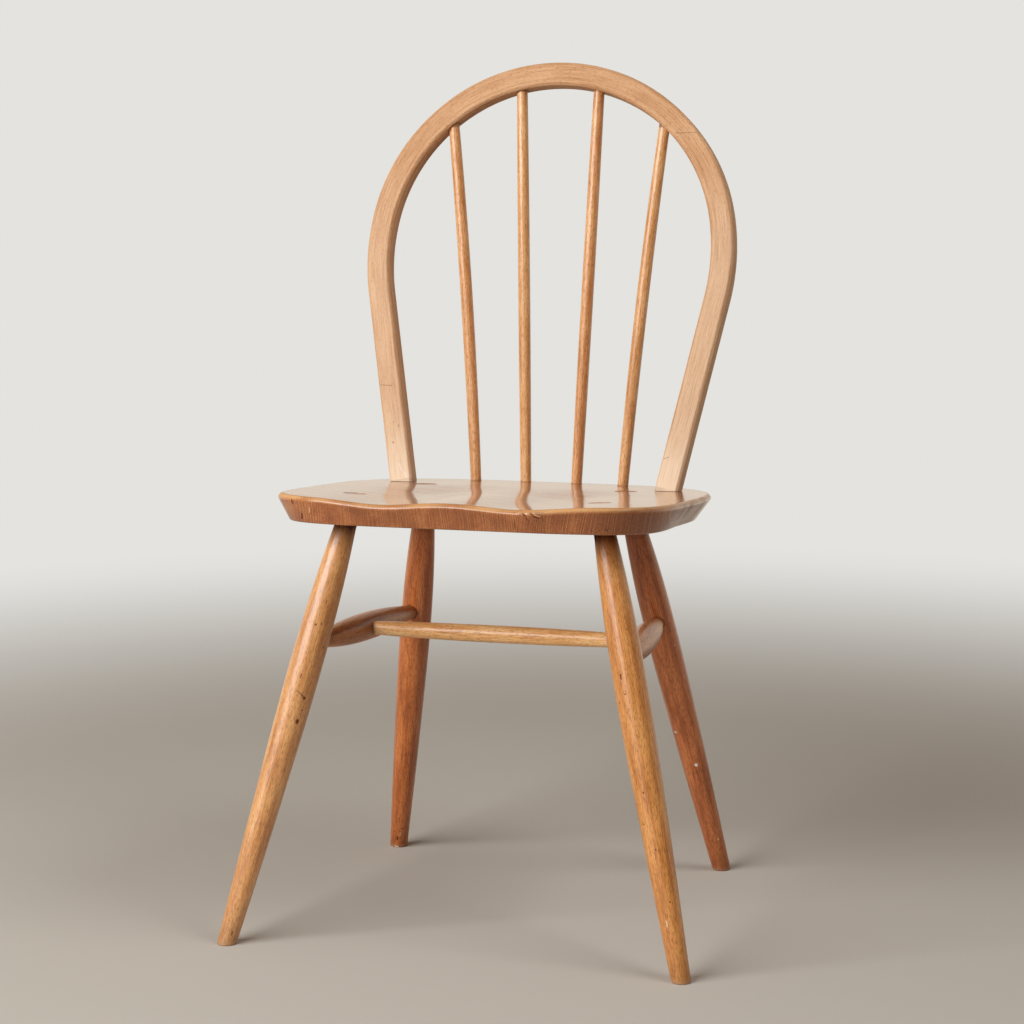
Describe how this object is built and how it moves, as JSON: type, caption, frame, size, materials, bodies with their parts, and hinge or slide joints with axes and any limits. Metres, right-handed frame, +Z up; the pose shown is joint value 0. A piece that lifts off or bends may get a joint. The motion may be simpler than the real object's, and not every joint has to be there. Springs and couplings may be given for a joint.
{
  "type": "hoop-back spindle chair",
  "caption": "Wooden kitchen chair with a saddled seat, splayed turned legs joined by an H stretcher, and a leaning bent hoop filled with slender spindles; worn clear finish.",
  "frame": {"origin": "on the floor, under the middle of the chair's box", "axes": "+Z up; the front of the chair faces -Y; +X is on the right as seen from the front"},
  "size_m": [0.4752, 0.4374, 0.8455],
  "materials": {
    "seat_elm": "varnished elm, glossy, worn",
    "hoop_beech": "steam-bent beech, varnish rubbed thin",
    "spindle_beech": "turned beech, glossy varnish",
    "leg_beech": "turned beech, varnish with dents",
    "stretcher_beech": "turned beech, varnish",
    "wedge_wood": "end grain of dark hardwood"
  },
  "bodies": {
    "root": {"seat": "seat_elm", "hoop": "hoop_beech", "spindle_left_outer": "spindle_beech", "spindle_left_inner": "spindle_beech", "spindle_right_inner": "spindle_beech", "spindle_right_outer": "spindle_beech", "leg_front_left": "leg_beech", "leg_front_right": "leg_beech", "leg_back_left": "leg_beech", "leg_back_right": "leg_beech", "side_stretcher_left": "stretcher_beech", "side_stretcher_right": "stretcher_beech", "cross_stretcher": "stretcher_beech", "leg_wedge_front_left": "wedge_wood", "leg_wedge_front_right": "wedge_wood", "leg_wedge_back_left": "wedge_wood", "leg_wedge_back_right": "wedge_wood", "hoop_wedge_left": "wedge_wood", "hoop_wedge_right": "wedge_wood"}
  },
  "joints": []
}
